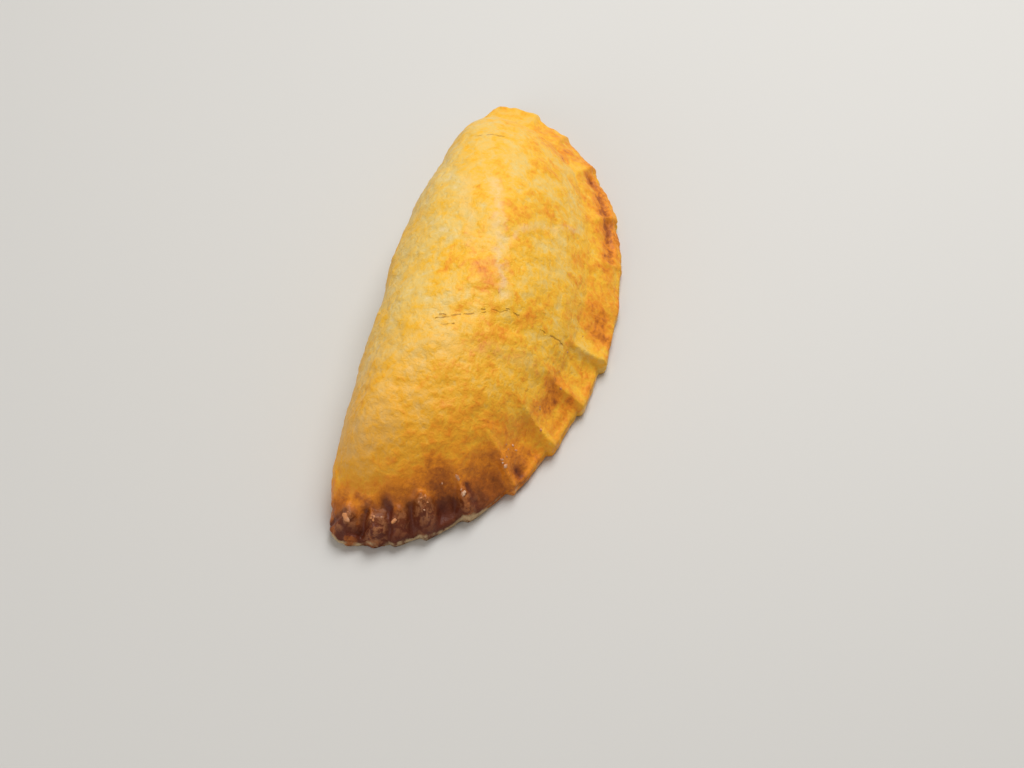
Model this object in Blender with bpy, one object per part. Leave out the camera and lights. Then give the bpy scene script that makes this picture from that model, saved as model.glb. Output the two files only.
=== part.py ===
"""A half-moon meat pie: a round of dough folded over its filling and pleated shut along the curved edge.

Units are metres and +Z is up. The pie lies on its flat base, with its length along X, its fold towards
+Y and its pleated seam towards -Y. The origin is under the middle of its box.
"""

import math

import bmesh
import bpy
import numpy as np

# Driving dimensions of the baked pie.
PIE_LENGTH = 0.150
PIE_HEIGHT = 0.034
SEAM_BOW = 0.051
FOLD_BOW = 0.0085

# The rim seen from above. The corner at -X was pinched, and flares a little on the fold's side.
CORNER_ROUNDING = 0.0026
PINCH_FLARE = 0.0013
PINCH_FLARE_AT = 0.012
PINCH_FLARE_LENGTH = 0.0045
FOLD_LEAN = 0.25

# The fold's slight waves along X: length over which the phase gains a radian, height and phase.
FOLD_WAVES = (
    (0.0115, 0.0005, 0.0),
    (0.0047, 0.0003, 1.0),
)

# The filling's outline is a smaller half-moon along the same fold, rounder at its corners.
FILLING_LENGTH = 0.130
FILLING_SEAM_BOW = 0.0432
FILLING_LEAN = 0.07
FILLING_POWER = 0.82
FILLING_ROUNDING = 0.0055
PEAK_SHARE = 0.40
PATH_TURN = 0.3
RING_CROWDING = 0.9

# The dome's fall from its peak to its foot, as the powers of the share of the way and of the height.
SEAM_DOME = (2.0, 0.80)
FAR_SEAM_DOME_POWER = 1.05
FOLD_DOME = (2.6, 0.52)
FOLD_DOME_FULL = 0.075
END_DOME_POWER = 1.15
END_DOME_SHARPNESS = 4

# The fold is a rounded wall, widest at this height, that tucks under to the base.
FOLD_WIDEST_HEIGHT = 0.0100
FOLD_TUCK = 0.0080
FOLD_FULL = 0.030

# The seam is two layers of dough pressed together, falling from the filling's foot to the rim.
SEAM_WIDTH = SEAM_BOW - FILLING_SEAM_BOW
SEAM_FOOT_HEIGHT = 0.0110
SEAM_RIM_HEIGHT = 0.0040
SEAM_HOLLOW = 1.15
FAR_SEAM_HOLLOW = 0.70
FAR_SEAM_UNTIL = (0.070, 0.105)
FAR_CORNER_THICKER = 0.0030
RIM_ROUNDING = 0.0011
RIM_GROOVE = 0.0004
RIM_GROOVE_WIDTH = 0.12

# Ridges of the pleats, each as its place along the seam from the far corner and its share of the height.
# Each rises slowly to its crest and runs out to a tip at the rim, then drops and steps in to the next.
RIDGES = (
    (-0.0060, 0.4),
    (0.0116, 0.5),
    (0.0225, 0.4),
    (0.0362, 0.5),
    (0.0555, 0.5),
    (0.0720, 0.25),
    (0.0885, 0.3),
    (0.1045, 0.95),
    (0.1194, 1.0),
    (0.1341, 1.1),
    (0.1494, 1.3),
    (0.1630, 1.0),
    (0.1748, 0.9),
    (0.1829, 0.7),
    (0.1884, 0.6),
    (0.1952, 0.5),
    (0.2040, 0.4),
)
RIDGE_HEIGHT = 0.0017
RIDGE_LONG_FLANK = 0.0040
RIDGE_SHORT_FLANK = 0.0014
RIDGE_ROUNDING = 0.0005
RIDGE_SLANT = 0.20
RIDGE_REACH = 0.0120
PRESS_DEPTH = 0.0013
PRESS_MIDDLE = 0.6 * SEAM_WIDTH
PRESS_SPREAD = 0.4 * SEAM_WIDTH
TIP_STEP = 0.0016
TIP_STEP_IN = 0.0016
TIP_MIDDLE = 0.4
TIP_CURVE = 1.5
PINCH_LENGTH = 0.014

# The pinched corner's lobes of dough and the pits between them: x, y, radius and height.
LOBES = (
    (-0.0706, 0.0186, 0.0029, 0.0022),
    (-0.0702, 0.0104, 0.0032, 0.0025),
    (-0.0672, 0.0050, 0.0026, 0.0016),
    (-0.0639, 0.0002, 0.0030, 0.0023),
    (-0.0578, -0.0094, 0.0027, 0.0015),
    (-0.0644, 0.0096, 0.0017, -0.0018),
    (-0.0570, -0.0015, 0.0026, -0.0009),
    (-0.0448, -0.0182, 0.0016, -0.0010),
    (-0.0678, 0.0144, 0.0016, -0.0014),
    (-0.0606, -0.0044, 0.0016, -0.0011),
)
LOBE_FALL = 0.7
LOBE_SQUARENESS = 3

# Lumps of filling show through the crust, and two slack creases cross the middle.
LUMP_SEED = 12
LUMP_COUNT = 34
LUMP_X = (-0.060, 0.060)
LUMP_Y = (-0.043, 0.005)
LUMP_RADIUS = (0.0051, 0.0110)
LUMP_RISE = (-0.0007, 0.0009)
FILLING_FADE = (0.6, 1.0)
CREASES = (
    {"x": -0.0165, "slope": -0.42, "depth": 0.0008, "width": 0.0028},
    {"x": -0.0275, "slope": -0.36, "depth": 0.0005, "width": 0.0030},
)
CREASE_MIDDLE = -0.028
CREASE_HALF_SPAN = 0.016
CREASE_WAVE = 0.0012
CREASE_WAVE_LENGTH = 0.0038

# Resolution of the skin, and the faces that the finished solid keeps.
CURVE_SAMPLES = 4000
STATION_STEP = 0.0009
DOME_RINGS = 30
SEAM_RINGS = 10
LIP_RINGS = 6
BASE_RINGS = 8
MOST_TRIANGLES = 11500
CLOSING_GAP = 0.000001

CRUST_COLOUR = (0.78, 0.45, 0.12, 1.0)
CRUST_ROUGHNESS = 0.45

HALF_LENGTH = PIE_LENGTH / 2


def smooth_step(low, high, value):
    """0 below low, 1 above high and an even S between them."""
    share = np.clip((value - low) / (high - low), 0.0, 1.0)
    return share * share * (3 - 2 * share)


def hump(value, middle, spread):
    """A bell that is 1 at its middle."""
    return np.exp(-0.5 * ((value - middle) / spread) ** 2)


def mix(first, second, share):
    return first + (second - first) * share


def half_ellipse(length, bow, lean=0.0, power=1.0, count=None):
    """Points along half an ellipse, from the +X corner round to the -X one, at equal steps.

    A lean bows it more towards +X, and a power under 1 squares its ends."""
    turn = np.linspace(0.0, math.pi, CURVE_SAMPLES)
    curve = np.stack([np.cos(turn), np.sin(turn) ** power * (1 + lean * np.cos(turn))])
    curve *= np.array([0.5 * length, bow])[:, None]
    along = np.concatenate([[0.0], np.cumsum(np.hypot(*np.diff(curve)))])
    count = count or round(along[-1] / STATION_STEP)
    wanted = np.linspace(0.0, along[-1], count, endpoint=False)
    return np.stack([np.interp(wanted, along, values) for values in curve])


def rounded(outline, spread):
    """A closed outline with its corners rounded, by averaging each point with its neighbours."""
    reach = math.ceil(3 * spread / STATION_STEP)
    offsets = np.arange(-reach, reach + 1)
    weights = hump(offsets * STATION_STEP, 0.0, spread)
    shifted = [weight * np.roll(outline, offset, axis=1) for weight, offset in zip(weights, offsets)]
    return np.sum(shifted, axis=0) / weights.sum()


def outward(outline):
    """The outline's unit normals in plan, pointing out of the pie."""
    along = np.roll(outline, -1, axis=1) - np.roll(outline, 1, axis=1)
    normals = np.stack([along[1], -along[0]])
    return normals / np.hypot(*normals)


def spine_line(x):
    """The y of the pie's highest line, which lies nearer the fold than the seam."""
    bow = np.sqrt(np.maximum(0.0, 1 - (x / HALF_LENGTH) ** 2))
    return bow * (FOLD_BOW - PEAK_SHARE * (FOLD_BOW + SEAM_BOW))


class Plan:
    """The pie seen from above: its rim, the filling's outline in it and what each station belongs to."""

    def __init__(self):
        fold = half_ellipse(PIE_LENGTH, FOLD_BOW, FOLD_LEAN)
        seam = -half_ellipse(PIE_LENGTH, SEAM_BOW)
        filling = [
            half_ellipse(FILLING_LENGTH, FOLD_BOW, FOLD_LEAN, FILLING_POWER, fold.shape[1]),
            -half_ellipse(FILLING_LENGTH, FILLING_SEAM_BOW, FILLING_LEAN, FILLING_POWER, seam.shape[1]),
        ]
        self.foot = rounded(np.concatenate(filling, axis=1), FILLING_ROUNDING)
        self.rim = rounded(np.concatenate([fold, seam], axis=1), CORNER_ROUNDING)
        self.rim[0] *= HALF_LENGTH / self.rim[0].max()
        self.normals = outward(self.rim)
        stations = self.rim.shape[1]
        station = np.arange(stations)
        on_fold = station < fold.shape[1]
        self.from_pinch = np.abs(station - fold.shape[1]) * STATION_STEP
        self.from_far_corner = np.minimum(station, stations - station) * STATION_STEP
        from_corner = np.minimum(self.from_pinch, self.from_far_corner)
        self.wall = on_fold * smooth_step(0.0, FOLD_FULL, from_corner)
        self.fullness = on_fold * smooth_step(0.0, FOLD_DOME_FULL, from_corner)
        self.seam_place = (stations - station) * STATION_STEP

        flare = PINCH_FLARE * on_fold * hump(self.from_pinch, PINCH_FLARE_AT, PINCH_FLARE_LENGTH)
        waves = [height * np.sin(self.rim[0] / length + phase) for length, height, phase in FOLD_WAVES]
        self.swell = flare + sum(waves) * self.wall


def pleats_at(place):
    """At places along the seam: the ridge's height, how far its tip is out and how far fingers pressed."""
    places, heights = np.array(RIDGES).T
    ahead = np.clip(np.searchsorted(places, place), 1, len(places) - 1)
    before = np.maximum(place - places[ahead - 1], 0.0)
    left = np.maximum(places[ahead] - place, 0.0)
    share = before / (before + left)

    def flank(distance, length):
        return np.exp(-(np.hypot(distance, RIDGE_ROUNDING) - RIDGE_ROUNDING) / length)

    rising = heights[ahead] * flank(left, RIDGE_LONG_FLANK)
    falling = heights[ahead - 1] * flank(before, RIDGE_SHORT_FLANK)
    stepped = heights[ahead - 1] * (1 - smooth_step(0.0, TIP_STEP_IN, before))
    tip = np.maximum(heights[ahead] * share**TIP_CURVE, stepped)
    press = np.minimum(heights[ahead], heights[ahead - 1]) * np.sin(math.pi * share)
    return np.maximum(rising, falling), tip, press


def filling_relief(x, y):
    """Height that the lumps of filling and the creases add to the dome."""
    rng = np.random.default_rng(LUMP_SEED)
    total = np.zeros_like(x)
    for _ in range(LUMP_COUNT):
        lump_x = rng.uniform(*LUMP_X)
        lump_y = rng.uniform(*LUMP_Y)
        radius = rng.uniform(*LUMP_RADIUS)
        rise = rng.uniform(*LUMP_RISE)
        total += rise * hump(np.hypot(x - lump_x, y - lump_y), 0.0, radius)
    for crease in CREASES:
        across = y - CREASE_MIDDLE
        line = crease["x"] + crease["slope"] * across + CREASE_WAVE * np.sin(across / CREASE_WAVE_LENGTH)
        span = np.exp(-((across / CREASE_HALF_SPAN) ** 4))
        total -= crease["depth"] * span * hump(x, line, crease["width"])
    return total


def dome_rings(plan, foot_height):
    """Rings from the top of the dome out to its foot, along curves that meet the foot nearly square."""
    way = (np.arange(DOME_RINGS) / DOME_RINGS)[:, None]
    share = np.sin(0.5 * math.pi * way**RING_CROWDING)
    x = plan.foot[0] * mix(1 - (1 - share) ** 2, share, PATH_TURN)
    y = mix(spine_line(x), plan.foot[1], share)
    towards_end = (plan.foot[0] / (0.5 * FILLING_LENGTH)) ** END_DOME_SHARPNESS
    power = mix(FAR_SEAM_DOME_POWER, SEAM_DOME[1], smooth_step(*FAR_SEAM_UNTIL, plan.seam_place))
    seam_fall = (1 - share ** SEAM_DOME[0]) ** mix(power, END_DOME_POWER, towards_end)
    fold_fall = (1 - share ** FOLD_DOME[0]) ** FOLD_DOME[1]
    z = mix(foot_height, PIE_HEIGHT, mix(seam_fall, fold_fall, plan.fullness))
    z += filling_relief(x, y) * (1 - smooth_step(*FILLING_FADE, share))
    return np.stack([x, y, z])


def edge_rings(plan, foot_height):
    """Rings from the dome's foot over the pleated seam, or down the fold's wall, to the edge of the base."""
    out = np.arange(SEAM_RINGS)[:, None] / SEAM_RINGS
    down = np.arange(LIP_RINGS)[:, None] / LIP_RINGS
    rim_height = SEAM_RIM_HEIGHT + FAR_CORNER_THICKER * hump(plan.from_far_corner, 0.0, PINCH_LENGTH)
    seam_xy = [mix(f, r - n * RIM_ROUNDING, out) for f, r, n in zip(plan.foot, plan.rim, plan.normals)]
    lip_inset = RIM_ROUNDING * (2 * down - 1) ** 2 + RIM_GROOVE * hump(down, 0.5, RIM_GROOVE_WIDTH)
    lip_xy = [r - n * lip_inset for r, n in zip(plan.rim, plan.normals)]
    hollow = mix(FAR_SEAM_HOLLOW, SEAM_HOLLOW, smooth_step(*FAR_SEAM_UNTIL, plan.seam_place))
    seam_z = mix(rim_height, foot_height, (1 - out) ** hollow)
    lip_z = rim_height * (1 - down)
    seam = np.concatenate([np.stack([*seam_xy, seam_z]), np.stack([*lip_xy, lip_z])], axis=1)

    turn = 0.5 * math.pi * np.arange(SEAM_RINGS + LIP_RINGS)[:, None] / (SEAM_RINGS + LIP_RINGS)
    tuck = FOLD_TUCK * (1 - np.cos(turn))
    widening = np.sqrt(np.sin(turn))
    wall_xy = [mix(f, r, widening) - n * tuck for f, r, n in zip(plan.foot, plan.rim, plan.normals)]
    wall = np.stack([*wall_xy, foot_height * (1 - np.sin(turn))])
    return mix(seam, wall, plan.wall)


def base_rings(edge):
    """Flat rings from the edge of the base to its middle."""
    share = (np.arange(BASE_RINGS + 1) / BASE_RINGS)[:, None]
    middle = np.array([0.0, 0.5 * (edge[1].min() + edge[1].max()), 0.0])[:, None, None]
    return mix(edge[:, None, :], middle, share)


def skin_points():
    """Every point of the skin: an array of x, y and z by ring, from the top down, and by station."""
    plan = Plan()
    foot_height = mix(SEAM_FOOT_HEIGHT, FOLD_WIDEST_HEIGHT, plan.wall)
    upper = np.concatenate([dome_rings(plan, foot_height), edge_rings(plan, foot_height)], axis=1)

    inset = np.hypot(*(upper[:2] - plan.rim[:, None, :]))
    crest, tip, press = pleats_at(plan.seam_place - RIDGE_SLANT * inset)
    near_rim = (1 - plan.wall) * (1 - smooth_step(RIM_ROUNDING, RIDGE_REACH, inset))
    bowl = (1 - plan.wall) * hump(inset, PRESS_MIDDLE, PRESS_SPREAD)
    held = np.clip(upper[2] / SEAM_RIM_HEIGHT, 0.0, 1.0)
    upper[2] += (RIDGE_HEIGHT * crest * near_rim - PRESS_DEPTH * press * bowl) * held
    out = plan.swell + TIP_STEP * (tip - TIP_MIDDLE) * near_rim
    upper[:2] += out * (1 - smooth_step(0.0, 2 * SEAM_WIDTH, inset)) * plan.normals[:, None, :]

    # The pie's frame has its origin under the middle of its box.
    for axis in upper[:2]:
        axis -= (axis.min() + axis.max()) / 2
    lobes = np.zeros_like(upper[2])
    for x, y, radius, height in LOBES:
        away = np.hypot(upper[0] - x, upper[1] - y) / radius
        lobes += height * np.exp(-LOBE_FALL * away**LOBE_SQUARENESS)
    upper[2] += lobes * held

    edge = upper[:, -1, :] * np.array([1.0, 1.0, 0.0])[:, None]
    return np.concatenate([upper, base_rings(edge)], axis=1)


def roll_skin(sheet, points):
    """Rolls a flat grid into the closed skin: a column for each station and a row for each ring."""
    rings = points.shape[1] - 1
    stations = points.shape[2]
    for vertex in sheet.verts:
        station = round((vertex.co.x + 1) / 2 * stations) % stations
        ring = round((1 - vertex.co.y) / 2 * rings)
        vertex.co = points[:, ring, station]
    bmesh.ops.remove_doubles(sheet, verts=sheet.verts, dist=CLOSING_GAP)


def crust_material():
    material = bpy.data.materials.new("crust")
    material.use_nodes = True
    shader = material.node_tree.nodes["Principled BSDF"]
    shader.inputs["Base Color"].default_value = CRUST_COLOUR
    shader.inputs["Roughness"].default_value = CRUST_ROUGHNESS
    shader.inputs["Metallic"].default_value = 0.0
    return material


def build_pie():
    points = skin_points()
    sheet = bmesh.new()
    bmesh.ops.create_grid(sheet, x_segments=points.shape[2], y_segments=points.shape[1] - 1, size=1.0)
    roll_skin(sheet, points)
    bmesh.ops.triangulate(sheet, faces=sheet.faces)
    triangles = len(sheet.faces)
    mesh = bpy.data.meshes.new("meat_pie")
    sheet.to_mesh(mesh)
    sheet.free()
    mesh.materials.append(crust_material())
    mesh.shade_smooth()
    pie = bpy.data.objects.new("meat_pie", mesh)
    bpy.context.scene.collection.objects.link(pie)
    thinning = pie.modifiers.new("fewer_faces", "DECIMATE")
    thinning.ratio = MOST_TRIANGLES / triangles


def main():
    for thing in list(bpy.data.objects):
        bpy.data.objects.remove(thing, do_unlink=True)
    build_pie()


main()
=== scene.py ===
"""The looks of a half-moon meat pie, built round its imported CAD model.

Units are metres and +Z is up, in the frame of the model: the pie's length is along X with the pinched corner
at -X, the fold is at +Y and the pleated seam at -Y, and the base lies on Z = 0.
"""

import math

import bpy
import numpy as np
from bpy.props import FloatProperty, FloatVectorProperty, PointerProperty
from mathutils import Matrix, Vector, noise


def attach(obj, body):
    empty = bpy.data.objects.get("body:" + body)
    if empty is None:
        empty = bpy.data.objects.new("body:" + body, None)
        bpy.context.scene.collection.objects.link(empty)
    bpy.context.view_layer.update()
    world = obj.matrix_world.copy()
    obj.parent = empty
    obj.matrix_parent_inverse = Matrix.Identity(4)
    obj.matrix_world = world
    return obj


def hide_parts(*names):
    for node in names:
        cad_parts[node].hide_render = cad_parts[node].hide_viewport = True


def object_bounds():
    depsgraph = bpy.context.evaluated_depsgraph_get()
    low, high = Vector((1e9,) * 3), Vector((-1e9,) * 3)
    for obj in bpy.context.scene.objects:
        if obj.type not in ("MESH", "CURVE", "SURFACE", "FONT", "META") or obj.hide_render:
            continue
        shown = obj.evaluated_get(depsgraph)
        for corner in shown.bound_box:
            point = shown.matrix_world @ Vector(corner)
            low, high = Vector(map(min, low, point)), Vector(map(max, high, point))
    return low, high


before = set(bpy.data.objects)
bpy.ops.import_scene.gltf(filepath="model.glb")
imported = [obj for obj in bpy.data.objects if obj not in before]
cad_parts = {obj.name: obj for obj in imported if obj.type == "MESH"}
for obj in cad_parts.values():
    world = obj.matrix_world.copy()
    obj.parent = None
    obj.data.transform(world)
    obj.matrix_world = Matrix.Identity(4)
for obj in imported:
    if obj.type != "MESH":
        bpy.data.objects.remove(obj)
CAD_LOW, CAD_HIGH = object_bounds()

bl_info = {
    "name": "Half-moon meat pie",
    "version": (1, 0, 0),
    "blender": (4, 5, 0),
    "location": "3D View > Sidebar > Meat pie",
    "description": "A baked half-moon meat pie with a pleated seam, dry chips of dough and a studio stage",
    "category": "Add Mesh",
}

MM = 0.001
PIE_NODE = "meat_pie"

# How finely the crust is modelled.
OUTLINE_POINTS = 4000
DOME_RING_POWER = 0.9
STATION_STEP = 0.00047
DOME_RINGS = 56
SEAM_RINGS = 26
LIP_RINGS = 14
BASE_RINGS = 6
CLOSING_GAP = 0.000001
VOXEL = 0.00052

# How far out a bell counts, in spreads, and how the layers of noise in a mesh follow each other.
BELL_REACH = 3
LAYER_FALL = 1.0
LAYER_STEP = 2.0
LAYER_SHIFT = 0.37

# The rim seen from above. The corner at -X was pinched, and flares a little on the fold's side.
CORNER_ROUNDING = 0.0026
PINCH_FLARE = 0.0013
PINCH_FLARE_AT = 0.012
PINCH_FLARE_LENGTH = 0.0045
PINCH_LENGTH = 0.014
FOLD_LEAN = 0.25

# The fold's slow waves in plan: each one's length, its share of the height and its start.
FOLD_WAVE_HEIGHT = 0.0005
FOLD_WAVES = ((0.0115, 1.0, 0.0), (0.0047, 0.6, 1.0))

# The filling's outline is a smaller half-moon along the same fold, rounder at its corners.
FILLING_LEAN = 0.07
FILLING_SQUARENESS = 0.82
FILLING_ROUNDING = 0.0055
FILLING_END_POWER = 4
PEAK_SHARE = 0.40
PATH_TURN = 0.3
SEAM_DOME = (2.0, 0.80)
FAR_SEAM_DOME_POWER = 1.05
FOLD_DOME = (2.6, 0.52)
FOLD_DOME_FULL = 0.075
END_DOME_POWER = 1.15
FOLD_WIDEST_HEIGHT = 0.0100
FOLD_TUCK = 0.0080
FOLD_FULL = 0.030
SEAM_HOLLOW = 1.15
FAR_SEAM_HOLLOW = 0.70
FAR_SEAM_UNTIL = (0.070, 0.105)
FAR_CORNER_THICKER = 0.0030
RIM_ROUNDING = 0.0011
RIM_GROOVE = 0.0006
RIM_GROOVE_AT = (0.5, 0.09)

# The pleats' ridges, each as its place along the seam from the far corner, in millimetres, and its share
# of the height. A finger's press lies between each two.
RIDGES = (
    (-6.0, 0.4),
    (11.6, 0.5),
    (22.5, 0.4),
    (36.2, 0.5),
    (55.5, 0.5),
    (72.0, 0.25),
    (88.5, 0.3),
    (104.5, 0.95),
    (119.4, 1.0),
    (134.1, 1.1),
    (149.4, 1.3),
    (163.0, 1.0),
    (174.8, 0.9),
    (182.9, 0.7),
    (188.4, 0.6),
    (195.2, 0.5),
    (204.0, 0.4),
)
RIDGE_HEIGHT = 0.0017
RIDGE_LONG_FLANK = 0.0040
RIDGE_SHORT_FLANK = 0.0012
RIDGE_ROUNDING = 0.0005
RIDGE_SLANT = 0.20
RIDGE_REACH = 0.0120
PRESS_DEPTH = 0.0013
PRESS_FLATNESS = 0.8
PRESS_AT = 0.6
PRESS_SPREAD = 0.4
LIP_RISE = 0.0007
LIP_WIDTH = 0.0020
LIP_FADE = (0.085, 0.060)
GROOVE_INSET = 0.0033
GROOVE_HALF_WIDTH = 0.0011
GROOVE_DEPTH = 0.0011
GROOVE_FADE = 0.002
GROOVES = ((0.0400, 0.0540), (0.0570, 0.0715))
TIP_STEP = 0.0016
TIP_STEP_IN = 0.0016
TIP_GROWTH = 1.5
TIP_MIDDLE = 0.4
SWELL_REACH = 2
RIM_RAGGED = 0.00035
RIM_RAGGED_SIZE = 0.0030
RIM_RAGGED_LAYERS = 3

# The pinched corner, in millimetres. A lobe, a knob on a lobe and a pit are each x, y, radius and height or
# depth. A split between lobes is x and y of both ends, half width and depth.
LOBES = (
    (-70.6, 18.6, 2.9, 2.2),
    (-70.2, 10.4, 3.2, 2.5),
    (-67.2, 5.0, 2.6, 1.6),
    (-63.9, 0.2, 3.0, 2.3),
    (-57.8, -9.4, 2.7, 1.5),
    (-61.6, -8.0, 1.8, 0.9),
)
PITS = (
    (-64.6, 9.6, 1.3, 1.0),
    (-57.0, -1.5, 2.4, 0.7),
    (-44.8, -18.2, 1.2, 1.1),
    (-65.6, 20.0, 1.1, 0.7),
    (-60.4, -4.2, 1.3, 0.8),
)
SPLITS = (
    (-73.4, 19.6, -70.8, 12.4, 0.50, 1.3),
    (-70.6, 23.0, -69.0, 18.8, 0.55, 0.9),
    (-72.6, 14.2, -67.2, 14.0, 0.60, 1.0),
    (-71.6, 6.9, -65.6, 8.2, 0.60, 1.4),
    (-69.4, 1.9, -63.6, 3.6, 0.60, 1.3),
    (-67.0, -3.4, -60.6, -3.2, 0.60, 1.2),
    (-62.4, -9.6, -58.2, -5.6, 0.55, 1.0),
    (-58.2, -12.6, -54.6, -8.2, 0.55, 0.9),
    (-66.6, 11.6, -64.6, 17.0, 0.50, 0.6),
)
KNOBS = (
    (-69.4, 17.2, 0.9, 0.6),
    (-68.6, 9.2, 1.0, 0.6),
    (-71.6, 10.6, 0.9, 0.6),
    (-65.6, 5.6, 0.8, 0.5),
    (-62.0, 1.0, 0.9, 0.6),
    (-65.0, -0.6, 0.9, 0.6),
    (-59.6, -7.2, 0.8, 0.6),
    (-56.4, -9.8, 0.9, 0.5),
    (-54.0, -12.0, 0.8, 0.5),
    (-58.4, -3.6, 0.7, 0.5),
    (-66.0, 14.4, 0.8, 0.4),
)
LOBE_STEEPNESS = 0.7
LOBE_POWER = 3
LOBE_FULL = 2.4
PIT_FULL = 1.2

# Dry bits of dough that broke off the rim: the first ones' x, y and size in millimetres, then a scatter.
CHIP_PLACES = (
    (-54.5, -5.9, 0.55),
    (-55.9, -6.3, 0.45),
    (-58.7, -11.1, 0.55),
    (-62.4, -7.8, 0.50),
    (-71.7, 4.3, 0.55),
    (-74.0, 17.6, 0.80),
    (-48.8, -18.6, 0.60),
    (-34.6, -24.6, 0.50),
)
CHIP_SEED = 5
CHIP_COUNT = 30
CHIP_SIZE = (0.00014, 0.00036)
CHIP_INSET = (0.0004, 0.0050)
CHIP_REACH = 0.095
CHIP_DROP = 0.012
CHIP_CROWDING = 1.6

# A chip's length, width and height as shares of its size, and how unevenly it is stretched, turned and worn.
CHIP_SUBDIVISIONS = 3
CHIP_SHAPE = (1.25, 0.8, 0.5)
CHIP_STRETCH = 0.5
CHIP_TURN = 6.0
CHIP_TURN_NOISE = 900.0
CHIP_RAGGED = 0.45
CHIP_RAGGED_LAYERS = 3
CHIP_RAGGED_NOISE = 1.3
CHIP_RAGGED_SHIFT = 500.0

# Lumps of filling show through the crust. Each measure is drawn between two shares of a length.
LUMP_COUNT = 34
LUMP_SEED = 12
LUMP_DRAWS = {
    "x": (-0.8, 0.8, 0.075),
    "y": (-0.85, 0.1, 0.051),
    "radius": (0.6, 1.3, 0.0085),
    "rise": (-0.9, 1.1, 0.0008),
}
LUMPS_FADE = (0.6, 1.0)

# Two slack creases and many fine wrinkles cross the middle.
CREASES = (
    {"x": -0.0165, "slope": -0.42, "depth": 0.0009, "width": 0.0024},
    {"x": -0.0275, "slope": -0.36, "depth": 0.0006, "width": 0.0028},
)
CREASE_MIDDLE = -0.028
CREASE_HALF_SPAN = 0.016
CREASE_END_POWER = 4
CREASE_WAVE = 0.0012
CREASE_WAVE_LENGTH = 0.0038
WRINKLE_DEPTH = 0.00040
WRINKLE_LEAST = 0.35
WRINKLE_SIZE = 0.0026
WRINKLE_LAYERS = 3
WRINKLE_STRETCH = 4.0
WRINKLE_DIRECTION = (0.35, -0.94)
WRINKLE_MIDDLE = -0.026
WRINKLE_HALF_SPAN = 0.020

# The skin's fine relief above the base: name, size of its grains and how far it moves the skin.
SKIN_RELIEFS = (("slack_skin", 0.0065, 0.0010), ("fine_bubbles", 0.0021, 0.00050))
TOP_FADE = (0.0005, 0.003)
TOP_STEPS = 10

# The grains that the crust's finish is made of: size in metres, detail, roughness and warp. Each has values
# from 0 to 1 round this middle one.
GRAIN_MIDDLE = 0.5
CRUST_GRAINS = {
    "patches": (0.013, 3.0, 0.55, 0.4),
    "mottles": (0.0046, 4.0, 0.62, 0.6),
    "flecks": (0.0019, 3.0, 0.65, 0.3),
    "freckles": (0.0008, 2.0, 0.6, 0.0),
    "spots": (0.0072, 2.0, 0.5, 0.8),
    "dashes": (0.0026, 1.0, 0.5, 0.0),
}

# How lines and spots are made uneven: the sizes of the grains along X and Y, their roughness and their reach.
WANDER = ((0.006, 0.0052), 0.7, 0.006)
FINE_WANDER = ((0.0030, 0.0027), 0.6, 0.0022)
WANDER_DETAIL = 3.0

# Parts of the crust that are darker or paler, each from where it starts to where it is in full. Low on the
# seam's side and along the seam near the pinched end the darkening is painted shade.
NEAR_END_X = (-0.012, -0.076)
NEAR_SEAM_X = (-0.030, -0.066)
NEAR_TIP_X = (-0.056, -0.070)
FAR_END_X = (0.040, 0.068)
FOLD_SIDE_Y = (-0.006, 0.020)
SEAM_SIDE_Y = (0.010, -0.010)
LOW_Z = (0.020, 0.006)

# How dark each thing makes the crust, on a scale from 0, raw dough, to 1, scorched. Most entries are
# browning. The pinched end and the seam's grooves are only made darker. The low seam side, the seam near the
# pinched end, the finger presses and the corner's pits and splits get painted shade, and the pleats' ridges
# get painted highlight.
BROWNING_AND_PAINTED_LIGHT = {
    "start": 0.37,
    "patches": 0.56,
    "mottles": 0.64,
    "flecks": 0.40,
    "freckles": 0.20,
    "spots": 0.08,
    "near_end": 0.29,
    "near_tip": 0.30,
    "far_end": 0.10,
    "fold_side": -0.08,
    "near_fold": -0.26,
    # Painted shade, darker low down on the seam's side.
    "low_side": 0.11,
    "seam": 0.05,
    # Painted shade on the seam near the pinched end.
    "near_seam": 0.22,
    # Painted shade in the finger presses between the pleats.
    "press": 0.03,
    "groove": 0.22,
    # Painted shade in the corner's pits and splits.
    "pit": 0.34,
    # Painted highlight on the pleats' ridges, paler on their crests and more so towards the pinched end.
    "ridge": -0.12,
    "near_ridge": -0.14,
    "lobe": 0.17,
    "lobe_mottles": 0.50,
}
NEAR_SEAM_CALM = 0.5
FOLD_SIDE_CALM = 0.2
BROWNING_AND_PAINTED_LIGHT_STOPS = {"dough": 0.0, "pale": 0.20, "golden": 0.42, "orange": 0.62, "brown": 0.82, "dark": 1.0}

# From which value of its grain or mark a layer starts, and at which it is in full.
EDGES = {
    "spots": (0.56, 0.70),
    "ridge": (0.35, 0.60),
    "streaks": (0.30, 0.62),
    "lobe_highlight": (0.42, 0.60),
    "cracks": (0.40, 0.56),
    "lip": (0.45, 0.62),
    "raw": (0.40, 0.60),
    "floured": (0.45, 0.70),
    "baked": (0.50, 0.70),
}

# How much of a layer's colour goes over what is under it.
COVERS = {
    "warmed": 0.50,
    "streaks": 0.55,
    "lobe_highlight": 0.50,
    "cracks": 0.50,
    "raw": 0.55,
    "floured": 0.55,
    "baked": 0.50,
}

# Where the glaze gathered and browned on the dome, in metres: middle, radius and by how much.
GLAZE_SPOTS = (
    ((0.0016, -0.0248), 0.007, 0.06),
    ((-0.0170, -0.0070), 0.013, 0.07),
    ((-0.0040, 0.0030), 0.013, 0.22),
    ((0.0170, 0.0070), 0.009, 0.08),
    ((0.0200, -0.0040), 0.010, 0.06),
)

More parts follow.
